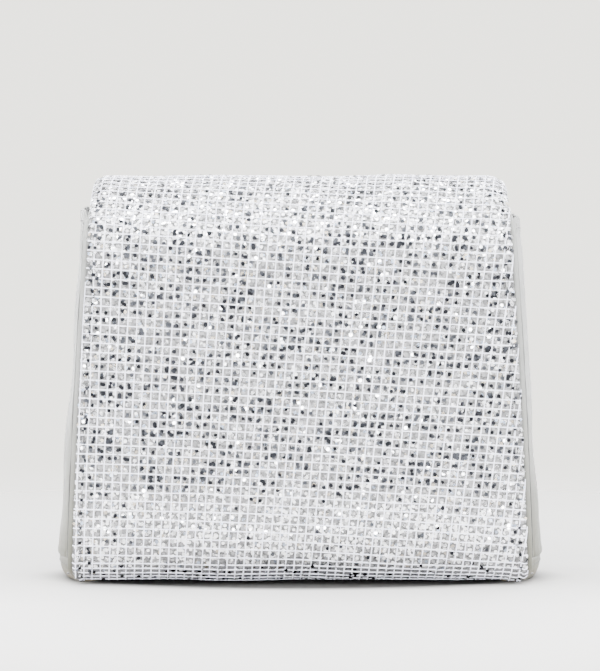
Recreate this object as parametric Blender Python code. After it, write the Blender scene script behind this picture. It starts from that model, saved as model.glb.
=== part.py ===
"""A structured evening bag: a box with bulging side gussets, closed by a full-length flap that is
hinged along the top of the back and held by a magnetic snap.

Metres. X runs across the bag, Y from front to back, Z up. The origin is under the middle of the base.
Each wall is a stack of thin layers, and a layer is given by its depth: how far it lies inside the
outermost surface of its wall.
"""

import math

import bmesh
import bpy
from mathutils import Vector

# Driving dimensions
HALF_DEPTH = 0.0370  # front and back outer faces, from the middle
CROWN_HEIGHT = 0.1640
EDGE_ROLL_RADIUS = 0.0200  # the rounding of the cover under the front and back
EDGE_ROLL_HEIGHT = 0.0219  # height of that rounding's centre
HINGE_ANGLE = math.radians(31.0)  # where the flap starts, up the back of the top roll
HINGE_STAND_OFF = 0.0002  # the hinge line lies this far outside the cover
GAP = 0.0003  # between pieces that touch

FRONT_GAP = 0.0032  # between the flap and the front wall, filled by the snap
FRONT_TOP = 0.1380
GUSSET_TOP = 0.1500
FRONT_SHOULDER = 0.0320  # the gusset's top slopes off inside these radii of the top roll
BACK_SHOULDER = 0.0330
SEAM_HEIGHT = 0.0100  # top edge of the base cover
UNDERCUT_ANGLE = math.radians(35.0)  # where the front wall's rounding turns into a slope
BACK_TUCK_ANGLE = math.radians(60.0)  # where the back's rounding turns into a slope

COVER_HEM_ANGLE = math.radians(63.0)  # how far the flap's cover curls under
FACING_HEM_ANGLE = math.radians(66.0)
FLAP_BOARD_ANGLE = math.radians(59.0)
BACK_HEM_ANGLE = math.radians(58.0)
BACK_BOARD_ANGLE = math.radians(8.0)  # the board ends here, below the soft strip that the flap folds on

COVER = (0.0, 0.0007)  # depths of a cover's two faces
BOARD = (0.0010, 0.0020)
LINING = (0.0023, 0.0028)
FLAP_BOARD = (0.0010, 0.0018)
FACING = (0.0021, 0.0027)
WALL = LINING[1]
BOARD_INSET = 0.0012
BORDER = 0.0020  # how far the flap's facing shows beyond its cover
BORDER_FADE = (0.1500, 0.1620)  # the border narrows to nothing between these heights

GUSSET_SKIN = 0.0008
GUSSET_LINING = 0.0005
SEAM_STEP = 0.0006  # the gusset overhangs the base cover by this much
BASE_SKIN = 0.0008
BASE_BOARD = 0.0015
BASE_CORNER = 0.0080  # rounding of the base cover's ends

SNAP_HEIGHT = 0.0560
SNAP_RADIUS = 0.0080
SNAP_BORE = 0.0039
SNAP_POST = 0.0025
WASHER_RADIUS = 0.0070
WASHER_THICKNESS = 0.0005

POCKET_HALF_WIDTH = 0.0550
POCKET_HEIGHTS = (0.0560, 0.1180)
POCKET_DEPTH = 0.0018
POCKET_SKIN = 0.0005

ROLL_RADIUS = HALF_DEPTH  # the top is one roll from front to back
ROLL_HEIGHT = CROWN_HEIGHT - ROLL_RADIUS
FRONT_FACE = -HALF_DEPTH + FACING[1] + FRONT_GAP  # outer face of the front wall
FRONT_ROLL_Y = -HALF_DEPTH + EDGE_ROLL_RADIUS  # centre of the front's rounding
FRONT_RADIUS = FRONT_ROLL_Y - FRONT_FACE
HINGE_RADIUS = ROLL_RADIUS + HINGE_STAND_OFF
HINGE_Y = HINGE_RADIUS * math.cos(HINGE_ANGLE)
HINGE_Z = ROLL_HEIGHT + HINGE_RADIUS * math.sin(HINGE_ANGLE)
HINGE = Vector((0.0, HINGE_Y, HINGE_Z))

COLOURS = {
    "glitter_mesh": ((0.78, 0.78, 0.80), 0.35, 0.5),
    "pu_leather": ((0.56, 0.57, 0.55), 0.45, 0.0),
    "board": ((0.42, 0.36, 0.28), 0.85, 0.0),
    "wadding": ((0.85, 0.85, 0.83), 0.95, 0.0),
    "lining": ((0.46, 0.46, 0.47), 0.75, 0.0),
    "snap_metal": ((0.78, 0.78, 0.80), 0.22, 1.0),
    "washer_steel": ((0.55, 0.55, 0.56), 0.40, 1.0),
}


# Widths


def cover_half_width(z):
    """The glitter panel: a trapezoid whose sides swell slightly."""
    return 0.0920 - 0.0575 * z + 0.0009 * math.sin(math.pi * min(1.0, max(0.0, z / CROWN_HEIGHT)))


def facing_half_width(z):
    low, high = BORDER_FADE
    share = min(1.0, max(0.0, (high - z) / (high - low)))
    return cover_half_width(z) + BORDER * (0.1 + 0.9 * share)


def wall_half_width(z):
    """The front and back walls, where the gussets are sewn to them."""
    return cover_half_width(z) + 0.0015


def bulge_half_width(z):
    """The gusset where it stands out furthest."""
    return 0.0991 - 0.0655 * z


def side_x(share, z, inset):
    """The bag's side at a share of the way from front to back. It is widest halfway."""
    seam = wall_half_width(z)
    return seam - inset + (bulge_half_width(z) - seam) * math.sin(math.pi * share) ** 0.8


def end_rounding(z):
    """How far the ends of the base cover draw in below its top edge."""
    rise = min(1.0, max(0.0, 1.0 - z / SEAM_HEIGHT))
    return BASE_CORNER * (1.0 - math.sqrt(1.0 - rise * rise * 0.98))


# Side profiles


def slope_y(centre_y, radius, angle, z):
    """Distance from the middle, on the slope that leaves a rounding at the given angle."""
    drop = EDGE_ROLL_HEIGHT - radius * math.sin(angle) - z
    return centre_y + radius * math.cos(angle) - drop * math.tan(angle)


def rounded_y(centre_y, radius, angle, z):
    """Distance from the middle of a wall that is upright, then rounded, then a slope."""
    if z >= EDGE_ROLL_HEIGHT:
        return centre_y + radius
    below = EDGE_ROLL_HEIGHT - z
    if below <= radius * math.sin(angle):
        return centre_y + math.sqrt(radius * radius - below * below)
    return slope_y(centre_y, radius, angle, z)


def front_y(z, depth):
    return -rounded_y(-FRONT_ROLL_Y, FRONT_RADIUS - depth, UNDERCUT_ANGLE, z)


def back_y(z, depth):
    if z > ROLL_HEIGHT:
        return math.sqrt((ROLL_RADIUS - depth) ** 2 - (z - ROLL_HEIGHT) ** 2)
    centre = HALF_DEPTH - EDGE_ROLL_RADIUS
    return rounded_y(centre, EDGE_ROLL_RADIUS - depth, BACK_TUCK_ANGLE, z)


def arc(centre, radius, start, end, steps):
    """(point, outward normal) pairs in the Y-Z plane. Angles are from +Y towards +Z."""
    found = []
    for step in range(steps + 1):
        angle = start + (end - start) * step / steps
        normal = Vector((math.cos(angle), math.sin(angle)))
        found.append((Vector(centre) + radius * normal, normal))
    return found


def flap_front_path(hem_angle):
    """The flap's outer line from its hem to the bottom of its upright front."""
    centre = (FRONT_ROLL_Y, EDGE_ROLL_HEIGHT)
    return arc(centre, EDGE_ROLL_RADIUS, math.pi + hem_angle, math.pi, 8)


def flap_roll_path(hinge_clearance):
    """The flap's outer line over the top, from its upright front to the hinge."""
    last = HINGE_ANGLE + hinge_clearance / ROLL_RADIUS
    return arc((0.0, ROLL_HEIGHT), ROLL_RADIUS, math.pi, last, 16)


def back_path(top_angle, hem_angle=0.0):
    """The back wall's outer line, from an angle on the top roll down to its tucked-under hem."""
    back_centre = (HALF_DEPTH - EDGE_ROLL_RADIUS, EDGE_ROLL_HEIGHT)
    path = arc((0.0, ROLL_HEIGHT), ROLL_RADIUS, top_angle, 0.0, 4)
    if hem_angle:
        return path + arc(back_centre, EDGE_ROLL_RADIUS, 0.0, -hem_angle, 8)
    return path + [(Vector((HALF_DEPTH, EDGE_ROLL_HEIGHT)), Vector((1.0, 0.0)))]


def front_path():
    """The front wall's outer line from the base seam up to its top edge."""
    low = SEAM_HEIGHT + GAP
    slope_normal = Vector((-math.cos(UNDERCUT_ANGLE), -math.sin(UNDERCUT_ANGLE)))
    path = [(Vector((front_y(low, 0.0), low)), slope_normal)]
    centre = (FRONT_ROLL_Y, EDGE_ROLL_HEIGHT)
    path += arc(centre, FRONT_RADIUS, math.pi + UNDERCUT_ANGLE, math.pi, 4)
    path.append((Vector((FRONT_FACE, FRONT_TOP)), Vector((-1.0, 0.0))))
    return path


# Building


def clear_scene():
    for thing in list(bpy.data.objects):
        bpy.data.objects.remove(thing)


def material(slot, name):
    colour, roughness, metallic = COLOURS[slot]
    made = bpy.data.materials.new(f"{name}_{slot}")
    made.use_nodes = True
    shader = made.node_tree.nodes["Principled BSDF"]
    shader.inputs["Base Color"].default_value = (*colour, 1.0)
    shader.inputs["Roughness"].default_value = roughness
    shader.inputs["Metallic"].default_value = metallic
    return made


def add_object(name, points, faces, slot, hinge=None):
    """One closed body. Pieces of the flap hang on the empty at its hinge line."""
    mesh = bpy.data.meshes.new(name)
    mesh.from_pydata([tuple(point) for point in points], [], faces)
    shaped = bmesh.new()
    shaped.from_mesh(mesh)
    bmesh.ops.recalc_face_normals(shaped, faces=shaped.faces)
    shaped.to_mesh(mesh)
    shaped.free()
    made = bpy.data.objects.new(name, mesh)
    made.data.materials.append(material(slot, name))
    bpy.context.scene.collection.objects.link(made)
    if hinge is not None:
        made.parent = hinge
        made.location = -HINGE
    return made


def thick_sheet(name, outer, inner, slot, hinge=None):
    """A closed body between two grids of points with the same rows and columns."""
    rows, columns = len(outer), len(outer[0])
    points = [p for row in outer for p in row] + [p for row in inner for p in row]
    back = rows * columns

    def corner(row, column):
        return row * columns + column

    faces = []
    for row in range(rows - 1):
        for column in range(columns - 1):
            loop = [
                corner(row, column),
                corner(row, column + 1),
                corner(row + 1, column + 1),
                corner(row + 1, column),
            ]
            faces.append(loop)
            faces.append([back + i for i in reversed(loop)])
    edge = [corner(0, c) for c in range(columns)]
    edge += [corner(r, columns - 1) for r in range(1, rows)]
    edge += [corner(rows - 1, c) for c in range(columns - 2, -1, -1)]
    edge += [corner(r, 0) for r in range(rows - 2, 0, -1)]
    for here, after in zip(edge, edge[1:] + edge[:1]):
        faces.append([after, here, back + here, back + after])
    return add_object(name, points, faces, slot, hinge)


def layer(name, path, depths, half_width, slot, hinge=None):
    """One layer of a wall: the strip that lies between two depths inside a path."""

    def grid(depth):
        rows = []
        for point, normal in path:
            place = point - depth * normal
            half = half_width(point.y)
            rows.append([Vector((x, place.x, place.y)) for x in (-half, half)])
        return rows

    return thick_sheet(name, grid(depths[0]), grid(depths[1]), slot, hinge)


def turned(name, profile, slot, y, height, hinge=None, segments=32):
    """A round body turned about an axis along Y. The profile is (radius, distance in front of y)."""
    points = []
    rings = []
    for radius, ahead in profile:
        if radius == 0.0:
            rings.append([len(points)])
            points.append(Vector((0.0, -ahead, 0.0)))
            continue
        ring = []
        for step in range(segments):
            angle = 2.0 * math.pi * step / segments
            ring.append(len(points))
            points.append(Vector((radius * math.cos(angle), -ahead, radius * math.sin(angle))))
        rings.append(ring)
    faces = []
    for lower, upper in zip(rings, rings[1:]):
        for step in range(segments):
            after = (step + 1) % segments
            if len(lower) == 1:
                faces.append([lower[0], upper[step], upper[after]])
            elif len(upper) == 1:
                faces.append([lower[step], upper[0], lower[after]])
            else:
                faces.append([lower[step], upper[step], upper[after], lower[after]])
    made = add_object(name, points, faces, slot, hinge)
    made.location = Vector((0.0, y, height)) - (HINGE if hinge is not None else Vector())
    made.data.shade_smooth()
    made.data.set_sharp_from_angle(angle=math.radians(40.0))
    return made


def bore(target, y, radius):
    """Cuts a round hole along Y through a layer, at the snap."""
    bpy.ops.mesh.primitive_cylinder_add(vertices=32, radius=radius, depth=0.006)
    cutter = bpy.context.object
    cutter.name = f"cutter_{target.name}"
    cutter.rotation_euler = (math.radians(90.0), 0.0, 0.0)
    cutter.location = (0.0, y, SNAP_HEIGHT)
    cutter.hide_render = True
    cutter.display_type = "WIRE"
    cut = target.modifiers.new("snap_hole", "BOOLEAN")
    cut.operation = "DIFFERENCE"
    cut.solver = "EXACT"
    cut.object = cutter


# Sub-parts


def make_flap(hinge):
    cover = flap_front_path(COVER_HEM_ANGLE) + flap_roll_path(GAP)
    layer("flap_cover", cover, COVER, cover_half_width, "glitter_mesh", hinge)

    facing = flap_front_path(FACING_HEM_ANGLE) + flap_roll_path(GAP)
    layer("flap_facing", facing, FACING, facing_half_width, "pu_leather", hinge)

    def board_half_width(z):
        return cover_half_width(z) - BOARD_INSET

    stiff = flap_front_path(FLAP_BOARD_ANGLE)
    stiff.append((Vector((-HALF_DEPTH, ROLL_HEIGHT - GAP)), Vector((-1.0, 0.0))))
    board = layer("flap_board", stiff, FLAP_BOARD, board_half_width, "board", hinge)
    board_y = -HALF_DEPTH + FLAP_BOARD[0]
    bore(board, board_y, WASHER_RADIUS + GAP)

    layer("flap_roll_wadding", flap_roll_path(2.0 * GAP), FLAP_BOARD, board_half_width, "wadding", hinge)


def make_back():
    top = HINGE_ANGLE - GAP / ROLL_RADIUS
    layer("back_cover", back_path(top, BACK_HEM_ANGLE), COVER, wall_half_width, "glitter_mesh")

    def board_half_width(z):
        return wall_half_width(z) - BOARD_INSET

    layer("back_board", back_path(BACK_BOARD_ANGLE), BOARD, board_half_width, "board")
    layer("back_lining", back_path(top), LINING, board_half_width, "lining")


def make_pocket():
    """An open-topped slip pocket sewn to the back lining along its sides and bottom."""
    bottom, top = POCKET_HEIGHTS
    wall = HALF_DEPTH - WALL - GAP
    front = wall - POCKET_DEPTH
    outline = [
        (-POCKET_HALF_WIDTH, wall),
        (-POCKET_HALF_WIDTH, front),
        (POCKET_HALF_WIDTH, front),
        (POCKET_HALF_WIDTH, wall),
        (POCKET_HALF_WIDTH - POCKET_SKIN, wall),
        (POCKET_HALF_WIDTH - POCKET_SKIN, front + POCKET_SKIN),
        (-POCKET_HALF_WIDTH + POCKET_SKIN, front + POCKET_SKIN),
        (-POCKET_HALF_WIDTH + POCKET_SKIN, wall),
    ]
    floor = bottom + POCKET_SKIN
    shaped = bmesh.new()
    high = [shaped.verts.new((x, y, top)) for x, y in outline]
    middle = [shaped.verts.new((x, y, floor)) for x, y in outline]
    low = [shaped.verts.new((x, y, bottom)) for x, y in outline[:4]]
    shaped.faces.new(high)
    shaped.faces.new(low)
    shaped.faces.new([middle[i] for i in (4, 5, 6, 7)])
    count = len(outline)
    for i in range(count):
        after = (i + 1) % count
        if (i, after) not in ((3, 4), (7, 0)):
            shaped.faces.new([high[i], high[after], middle[after], middle[i]])
    shaped.faces.new([high[3], high[4], middle[4], middle[3]])
    shaped.faces.new([high[7], high[0], middle[0], middle[7]])
    for i in range(3):
        shaped.faces.new([middle[i], middle[i + 1], low[i + 1], low[i]])
    shaped.faces.new([middle[0], low[0], low[3], middle[3], middle[4], middle[7]])
    bmesh.ops.recalc_face_normals(shaped, faces=shaped.faces)
    mesh = bpy.data.meshes.new("slip_pocket")
    shaped.to_mesh(mesh)
    shaped.free()
    pocket = bpy.data.objects.new("slip_pocket", mesh)
    pocket.data.materials.append(material("lining", "slip_pocket"))
    bpy.context.scene.collection.objects.link(pocket)


def make_front():
    path = front_path()
    layer("front_cover", path, COVER, wall_half_width, "pu_leather")

    def board_half_width(z):
        return wall_half_width(z) - BOARD_INSET

    board = layer("front_board", path, BOARD, board_half_width, "board")
    bore(board, FRONT_FACE + BOARD[0], WASHER_RADIUS + GAP)
    layer("front_lining", path, LINING, board_half_width, "lining")


def gusset_grid(side, inset, heights, shares):
    """Points on a gusset, between the front and back walls' linings."""
    rows = []
    for level in heights:
        row = []
        for share in shares:
            low_front = front_y(min(level, FRONT_TOP), WALL + GAP)
            y = low_front + (back_y(level, WALL + GAP) - low_front) * share
            radius = FRONT_SHOULDER if y < 0.0 else BACK_SHOULDER
            shoulder = math.sqrt(max(0.0, radius * radius - y * y))
            z = min(level, ROLL_HEIGHT + shoulder)
            row.append(Vector((side * side_x(share, z, inset), y, z)))
        rows.append(row)
    return rows


def make_gusset(side, word):
    low = SEAM_HEIGHT + GAP
    first = EDGE_ROLL_HEIGHT
    heights = [low, (low + first) / 2.0, first]
    steps = 7
    heights += [first + (ROLL_HEIGHT - first) * i / steps for i in range(1, steps + 1)]
    heights += [0.5 * (ROLL_HEIGHT + GUSSET_TOP - 0.006), GUSSET_TOP - 0.006, GUSSET_TOP]
    shares = [i / 12.0 for i in range(13)]

    def sheet_between(name, outer_inset, thickness, slot):
        outer = gusset_grid(side, outer_inset, heights, shares)
        inner = gusset_grid(side, outer_inset + thickness, heights, shares)
        thick_sheet(name, outer, inner, slot)

    sheet_between(f"gusset_{word}", 0.0, GUSSET_SKIN, "pu_leather")
    sheet_between(f"gusset_lining_{word}", GUSSET_SKIN + GAP, GUSSET_LINING, "lining")


def base_loop(z, inset):
    """The base cover's outline at a height, drawn in by an inset."""
    front = front_y(z, inset)
    back = back_y(z, COVER[1] + GAP + inset)
    shares = [i / 10.0 for i in range(11)]
    side = []
    for share in shares:
        x = side_x(share, z, inset + SEAM_STEP) - end_rounding(z)
        side.append(Vector((x, front + (back - front) * share, z)))
    other = [Vector((-p.x, p.y, z)) for p in reversed(side)]
    return side + other


def make_base():
    heights = [0.0, 0.001, 0.003, 0.006, SEAM_HEIGHT]
    outside = [base_loop(z, 0.0) for z in reversed(heights)]
    inside = [base_loop(z, BASE_SKIN) for z in heights[2:]]
    floor = [Vector((p.x, p.y, BASE_SKIN)) for p in base_loop(heights[1], BASE_SKIN)]
    rings = outside + [floor] + inside
    count = len(outside[0])
    points = [p for ring in rings for p in ring]
    bottom = len(outside) - 1
    faces = []
    for level in range(len(rings)):
        after = (level + 1) % len(rings)
        if level == bottom:
            continue
        for i in range(count):
            j = (i + 1) % count
            faces.append([level * count + i, level * count + j, after * count + j, after * count + i])
    faces.append([bottom * count + i for i in range(count)])
    faces.append([(bottom + 1) * count + i for i in reversed(range(count))])
    add_object("base_cover", points, faces, "pu_leather")

    def plate(name, low, thickness, slot):
        inset = BASE_SKIN + GAP
        lower = [Vector((p.x, p.y, low)) for p in base_loop(low, inset)]
        upper = [Vector((p.x, p.y, low + thickness)) for p in lower]
        size = len(lower)
        sides = [[i, (i + 1) % size, size + (i + 1) % size, size + i] for i in range(size)]
        caps = [list(reversed(range(size))), list(range(size, 2 * size))]
        add_object(name, lower + upper, sides + caps, slot)

    plate("base_board", BASE_SKIN + GAP, BASE_BOARD, "board")
    plate("base_lining", BASE_SKIN + BASE_BOARD + 2.0 * GAP, LINING[1] - LINING[0], "lining")


def make_snap(hinge):
    """The socket sits on the front wall, the stud under the flap, each on a washer in its board."""
    face = FRONT_FACE
    high = FRONT_GAP - 4.0 * GAP - 0.0005 + GAP  # the socket's face, ahead of the wall
    socket = [
        (0.0, GAP),
        (SNAP_RADIUS - 0.0006, GAP),
        (SNAP_RADIUS, GAP + 0.0004),
        (SNAP_RADIUS, high - 0.0005),
        (SNAP_RADIUS - 0.0006, high),
        (SNAP_BORE + 0.0004, high),
        (SNAP_BORE, high - 0.0003),
        (SNAP_BORE, GAP + 0.0004),
        (0.0, GAP + 0.0004),
    ]
    turned("snap_socket", socket, "snap_metal", face, SNAP_HEIGHT)
    plate = high + GAP
    tip = 2.0 * GAP + 0.0004
    stud = [
        (0.0, FRONT_GAP - GAP),
        (SNAP_RADIUS, FRONT_GAP - GAP),
        (SNAP_RADIUS, plate + 0.0002),
        (SNAP_RADIUS - 0.0004, plate),
        (SNAP_POST + 0.0003, plate),
        (SNAP_POST, plate - 0.0002),
        (SNAP_POST, tip + 0.0003),
        (SNAP_POST - 0.0003, tip),
        (0.0, tip),
    ]
    turned("snap_stud", stud, "snap_metal", face, SNAP_HEIGHT, hinge)
    washer = [
        (0.0, 0.0),
        (WASHER_RADIUS, 0.0),
        (WASHER_RADIUS, WASHER_THICKNESS),
        (0.0, WASHER_THICKNESS),
    ]
    inside_front = face + sum(BOARD) / 2.0 + WASHER_THICKNESS / 2.0
    turned("snap_socket_washer", washer, "washer_steel", inside_front, SNAP_HEIGHT)
    inside_flap = -HALF_DEPTH + sum(FLAP_BOARD) / 2.0 + WASHER_THICKNESS / 2.0
    turned("snap_stud_washer", washer, "washer_steel", inside_flap, SNAP_HEIGHT, hinge)


def main():
    clear_scene()
    hinge = bpy.data.objects.new("flap_hinge_line", None)
    hinge.location = HINGE
    bpy.context.scene.collection.objects.link(hinge)
    make_flap(hinge)
    make_back()
    make_pocket()
    make_front()
    make_gusset(-1.0, "left")
    make_gusset(1.0, "right")
    make_base()
    make_snap(hinge)


main()
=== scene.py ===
"""The looks of the evening bag: glitter under a square net, pale PU, lining and hardware.

Shapes are worked out in millimetres in the bag's own frame and turned into metres when a mesh is made.
The flap and the back share one profile: s is the length along it, from the front hem over the top to the
back hem, and x runs across it.
"""

import math

import bmesh
import bpy
import numpy as np
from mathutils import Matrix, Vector


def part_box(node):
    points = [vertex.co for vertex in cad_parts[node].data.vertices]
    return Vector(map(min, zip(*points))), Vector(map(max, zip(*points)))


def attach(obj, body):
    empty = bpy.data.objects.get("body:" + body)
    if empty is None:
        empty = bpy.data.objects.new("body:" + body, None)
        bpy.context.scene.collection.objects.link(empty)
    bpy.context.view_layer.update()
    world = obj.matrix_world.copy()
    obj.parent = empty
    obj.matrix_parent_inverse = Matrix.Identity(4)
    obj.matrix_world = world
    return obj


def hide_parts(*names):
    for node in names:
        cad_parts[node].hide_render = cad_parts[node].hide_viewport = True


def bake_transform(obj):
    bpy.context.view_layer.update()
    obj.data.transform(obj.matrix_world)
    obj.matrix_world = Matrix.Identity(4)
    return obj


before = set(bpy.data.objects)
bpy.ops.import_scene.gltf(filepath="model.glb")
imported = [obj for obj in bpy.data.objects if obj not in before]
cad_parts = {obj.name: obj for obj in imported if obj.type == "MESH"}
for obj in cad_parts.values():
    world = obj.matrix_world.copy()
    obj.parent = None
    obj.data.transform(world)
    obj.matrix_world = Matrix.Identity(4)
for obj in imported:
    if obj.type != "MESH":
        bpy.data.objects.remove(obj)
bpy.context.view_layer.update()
SCALE = 0.001  # metres in a millimetre
rng = np.random.default_rng(11)


def corners(node):
    """A CAD node's lowest and highest corners, in millimetres."""
    low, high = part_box(node)
    return np.array(low) / SCALE, np.array(high) / SCALE


# ---------------- sizes, in millimetres

cover_low, cover_high = corners("flap_cover")
HALF_DEPTH = -cover_low[1]
CROWN = cover_high[2]
TOP_R = HALF_DEPTH  # the roll over the top
TOP_Z = CROWN - TOP_R
ROLL_R = 20.0  # the rolls at the hems
ROLL_Z = 21.9
HEM_ANGLE = math.radians(63.0)  # how far the cover turns under in front,
BACK_HEM_ANGLE = math.radians(58.0)  # and behind
UNDERCUT = math.radians(35.0)  # where the front wall's roll becomes a slope,
BACK_TUCK = math.radians(60.0)  # and the back's
HINGE_ANGLE = math.radians(31.0)  # the hinge line on the top roll, from the roll's back end

WALL_FACE = corners("front_cover")[0][1]
FRONT_TOP = corners("front_cover")[1][2]
GUSSET_TOP = corners("gusset_left")[1][2]
BASE_TOP = corners("base_cover")[1][2]
SEAM_LOW = BASE_TOP + 0.3  # the walls' lower edges
LINING_LOW = BASE_TOP - 4.0

COVER_FOOT = 92.0  # half the cover's width at the ground,
COVER_TAPER = 0.0575  # what it loses in a millimetre of height,
COVER_BOW = 0.9  # and its bow
BULGE_FOOT = 99.1  # the same for the fullest line of the sides
BULGE_TAPER = 0.0655
SEAM_OUT = 1.5  # the gussets' seams, beyond the cover's edge
TOP_FLARE = 1.3  # the cover is wider over the top roll,
BACK_FLARE = 1.5  # and down the back, where it reaches the gussets
BACK_FLARE_RUN = 30.0
CORNER_RUN = 4.5  # the rounding of the front hem's corners
CORNER_IN = 3.0
CORNER_DROPS = ((-1.0, 0.9, 5.0, 2.5), (1.0, 1.9, 8.0, 3.0))  # side, drop, start from the edge, and run
CORNER_DROP_RUN = 9.0
DROOP_SPAN = (6.2, 8.6)  # the drooping ends of the top roll, left and right
DROOP_DEPTH = (4.4, 5.4)
DROOP_POWER = 2.6
HEM_SWELL = 2.0
HEM_SWELL_RUN = 19.0

EDGE_R = 1.1  # how sharply the cover turns round its edges
MAX_TURN = 2.2  # radians
CLOTH = 0.55  # the glitter's backing cloth
BORDER = 2.0  # PU showing beyond the glitter
STITCH_IN = 2.9  # stitch line from the cover's side edge
STITCH_STEP = 5.6
TOPSTITCH_DOWN = 4.6  # stitch line below a folded top edge

NET_X = 3.52  # net pitch across
NET_S = 3.63  # and along the profile
NET_ROWS_BELOW = 29  # rows below the top roll in front
NET_LEAN = 0.087  # how far a column leans in a millimetre,
NET_FAN = 0.052 / 90.0  # how much it fans out,
NET_FAN_REACH = 80.0  # and how far from the middle of the front it still does
NET_SPLIT = 12.0  # the net's two pieces part this far down the back
GATHER_START = 9.5  # the net's rows lie closer together below this
GATHER = 0.6
THREAD_W = 0.55
THREAD_H = 0.34
THREAD_LIFT = 0.12
# a thread's section, flat under and rounded over: places across and up, as shares of its width and height
THREAD_SECTION = ((-0.5, 0.12), (-0.38, 0.75), (0.0, 1.0), (0.38, 0.75), (0.5, 0.12), (0.0, -0.25))

FLAKE_R = 0.74
FLAKE_GAP = 1.33
FLAKE_SHAKE = 0.52  # how far a flake strays from its row, as a share of the gap
FLAKE_SIDES = 8
FLAKE_DEPTH = 0.22

FACING_DEPTH = 1.95
FACING_SKIN = 0.62
FACING_TURN = 0.85
FACING_LAP = 12.0  # how far it reaches down the inside of the back
WADDING_SKIN = 0.85
WALL_TURN = 1.75  # radius of the front wall's folded top,
WALL_LAP = 11.0  # and how far down it laps inside
WALL_SKIN = 0.6
SNAP_Z = 56.0
GUSSET_DEPTHS = (1.7, 1.95)  # from the front wall's and the back's outer faces
GUSSET_RADII = (33.9, 33.6)  # the rounding of its shoulders, front and back
GUSSET_SKIN = 0.75
SEAM_IN = 3.0  # stitch line from a gusset's seam
LINING_DEPTH = 2.35
LINING_SKIN = 0.28
LINING_IN = 1.3  # from the walls' side edges
BASE_SKIN = 0.85
BASE_ARCH = 3.2  # how far the base rises in its middle
BASE_CORNER = 5.6
BASE_SIDE_PLACES = 15  # places round the base's outline: on each side,
BASE_LONG_PLACES = 39  # and between the sides


# ---------------- maths helpers


def smooth(t):
    t = np.clip(t, 0.0, 1.0)
    return t * t * (3.0 - 2.0 * t)


def bump(x, centre, width):
    return np.exp(-(((x - centre) / width) ** 2))


def waves(x, y, seed, scale, count=7):
    """A smooth random field of about unit height, from a few plane waves."""
    local = np.random.default_rng(seed)
    total = np.zeros(np.broadcast(x, y).shape)
    for _ in range(count):
        turn = local.uniform(0.0, 2.0 * math.pi)
        length = scale * local.uniform(0.6, 1.8)
        phase = local.uniform(0.0, 2.0 * math.pi)
        along = x * math.cos(turn) + y * math.sin(turn)
        total = total + np.sin(2.0 * math.pi * along / length + phase)
    return total / math.sqrt(count / 2.0) / 1.5


def stations(*stretches):
    """Places along stretches that follow each other, each given as (start, end, count)."""
    parts = [np.linspace(start, end, count)[:-1] for start, end, count in stretches]
    return np.append(np.concatenate(parts), stretches[-1][1])


def near_sides(count, power=1.7):
    """Shares from -1 to 1, closer together near the ends."""
    share = np.linspace(-1.0, 1.0, count)
    return np.sign(share) * (1.0 - (1.0 - np.abs(share)) ** power)


def unit(vectors):
    return vectors / np.linalg.norm(vectors, axis=-1, keepdims=True)


def smooth_line(values, rounds=6):
    values = np.array(values, float)
    for _ in range(rounds):
        values[1:-1] = (values[:-2] + 2.0 * values[1:-1] + values[2:]) / 4.0
    return values


# ---------------- the bag's form

FRONT_LEN = TOP_Z - ROLL_Z
TOP_LEN = TOP_R * math.pi
# the profile's landmarks: the front's foot and top, the back's top and foot, its end, and places between
S_FRONT = ROLL_R * HEM_ANGLE
S_ROLL = S_FRONT + FRONT_LEN
S_BACK = S_ROLL + TOP_LEN
S_TUCK = S_BACK + FRONT_LEN
S_END = S_TUCK + ROLL_R * BACK_HEM_ANGLE
S_MIDDLE = S_FRONT + FRONT_LEN / 2.0
S_CROWN = S_ROLL + TOP_LEN / 2.0
S_HINGE = S_BACK - TOP_R * HINGE_ANGLE


def cover_half(z):
    """Half the cover's width at a height."""
    z = np.asarray(z, float)
    return COVER_FOOT - COVER_TAPER * z + COVER_BOW * np.sin(math.pi * np.clip(z / CROWN, 0.0, 1.0))


def wall_half(z):
    return cover_half(z) + SEAM_OUT


def bulge_half(z):
    return BULGE_FOOT - BULGE_TAPER * np.asarray(z, float)


def profile(s, depth=0.0):
    """Y, Z and the outward normal's Y and Z on the cover's profile, at a depth inside it.
    Along a straight stretch the angle stays and the centre of the turn moves."""
    s = np.asarray(s, float)
    angle = (math.pi + np.clip(S_FRONT - s, 0.0, None) / ROLL_R
             - np.clip(s - S_ROLL, 0.0, TOP_LEN) / TOP_R - np.clip(s - S_TUCK, 0.0, None) / ROLL_R)
    on_top = (s > S_ROLL) & (s <= S_BACK)
    radius = np.where(on_top, TOP_R, ROLL_R) - depth
    centre_y = np.where(on_top, 0.0, np.sign(s - S_CROWN) * (HALF_DEPTH - ROLL_R))
    rise = np.where(s < S_CROWN, s - S_FRONT, S_TUCK - s)
    centre_z = np.where(on_top, TOP_Z, ROLL_Z + np.clip(rise, 0.0, FRONT_LEN))
    ny, nz = np.cos(angle), np.sin(angle)
    return centre_y + radius * ny, centre_z + radius * nz, ny, nz


def hem_drop(x, half):
    """How much further the turned corners of the front hem reach than its middle."""
    return sum(drop * smooth((side * x - (half - start)) / run) for side, drop, start, run in CORNER_DROPS)


def crown_share(s):
    """0 where the top roll starts and ends, 1 at its crown."""
    return np.clip(1.0 - np.abs(s - S_CROWN) / (TOP_LEN / 2.0), 0.0, 1.0)


def back_flare(s):
    return BACK_FLARE * smooth((s - S_HINGE) / BACK_FLARE_RUN)


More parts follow.
